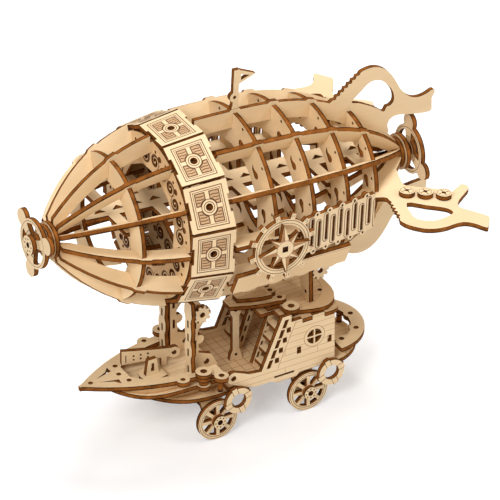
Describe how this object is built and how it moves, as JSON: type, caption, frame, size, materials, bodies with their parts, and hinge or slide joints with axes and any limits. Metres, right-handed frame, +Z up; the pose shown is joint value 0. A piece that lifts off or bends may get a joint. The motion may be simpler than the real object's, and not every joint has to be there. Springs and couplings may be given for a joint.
{
  "type": "airship model",
  "caption": "Plywood display model of an airship: a ribbed envelope with belt, fins and propellers carried on masts over a boat gondola that rolls on spoked wheels.",
  "frame": {"origin": "middle of the bounding box, on the ground under the wheels", "axes": "+X from nose to tail, +Y to the far side in the picture, +Z up"},
  "size_m": [0.2332, 0.1708, 0.1991],
  "materials": {
    "pale_ply": "bare laser-cut birch plywood, matt",
    "warm_ply": "bare laser-cut birch plywood, matt",
    "dowel": "bare wooden dowel, matt"
  },
  "bodies": {
    "airship": {"rib_top": "pale_ply", "rib_bottom": "pale_ply", "rib_near": "pale_ply", "rib_far": "pale_ply", "ribs_upper": "pale_ply", "ribs_lower": "pale_ply", "nose_former": "pale_ply", "bulkhead_front": "warm_ply", "bulkhead_rear": "warm_ply", "former_1": "pale_ply", "former_2": "pale_ply", "former_3": "pale_ply", "former_4": "pale_ply", "belt_panels": "pale_ply", "nose_disc": "warm_ply", "nose_plate": "pale_ply", "tail_disc": "warm_ply", "flag": "pale_ply", "inner_deck": "warm_ply", "wing_buttons": "pale_ply", "compass_rings": "pale_ply", "compass_stars": "pale_ply", "compass_pegs": "dowel", "side_grilles": "pale_ply", "lower_fascias": "warm_ply", "gunwale": "pale_ply", "bow_spacer": "warm_ply", "foredeck": "pale_ply", "hull_spacer": "warm_ply", "floor_plate": "pale_ply", "cabin_floor": "pale_ply", "bulwark": "pale_ply", "turret": "pale_ply", "mast_fronts": "pale_ply", "mast_sides": "warm_ply", "mast_gears": "pale_ply", "rear_strut": "warm_ply", "wall_near": "pale_ply", "wall_far": "pale_ply", "rear_wall": "warm_ply", "stair_stringers": "warm_ply", "stair_treads": "pale_ply", "canopy_lower": "pale_ply", "canopy_upper": "warm_ply", "column": "pale_ply", "roof_lower": "pale_ply", "roof_upper": "warm_ply", "stern_gallery": "pale_ply", "posts": "warm_ply", "axle_brackets": "warm_ply", "lifebuoys": "pale_ply"},
    "nose_propeller_set": {"nose_propeller": "pale_ply", "nose_shaft": "dowel"},
    "tail_propeller_set": {"tail_propeller": "pale_ply", "tail_shaft": "dowel"},
    "front_wheelset": {"front_wheels": "pale_ply", "front_axle": "dowel"},
    "rear_wheelset": {"rear_wheels": "pale_ply", "rear_axle": "dowel"}
  },
  "joints": [
    {"name": "nose_propeller_spin", "type": "hinge", "parent": "airship", "child": "nose_propeller_set", "pos_m": [-0.00284, 0, 0.1272], "axis": [0.9986, 0, -0.0523], "continuous": true},
    {"name": "tail_propeller_spin", "type": "hinge", "parent": "airship", "child": "tail_propeller_set", "pos_m": [-0.00284, 0, 0.1272], "axis": [0.9986, 0, -0.0523], "continuous": true},
    {"name": "front_axle_roll", "type": "hinge", "parent": "airship", "child": "front_wheelset", "pos_m": [-0.02284, 0, 0.0113], "axis": [0, 1, 0], "continuous": true},
    {"name": "rear_axle_roll", "type": "hinge", "parent": "airship", "child": "rear_wheelset", "pos_m": [0.03016, 0, 0.0113], "axis": [0, 1, 0], "continuous": true}
  ]
}
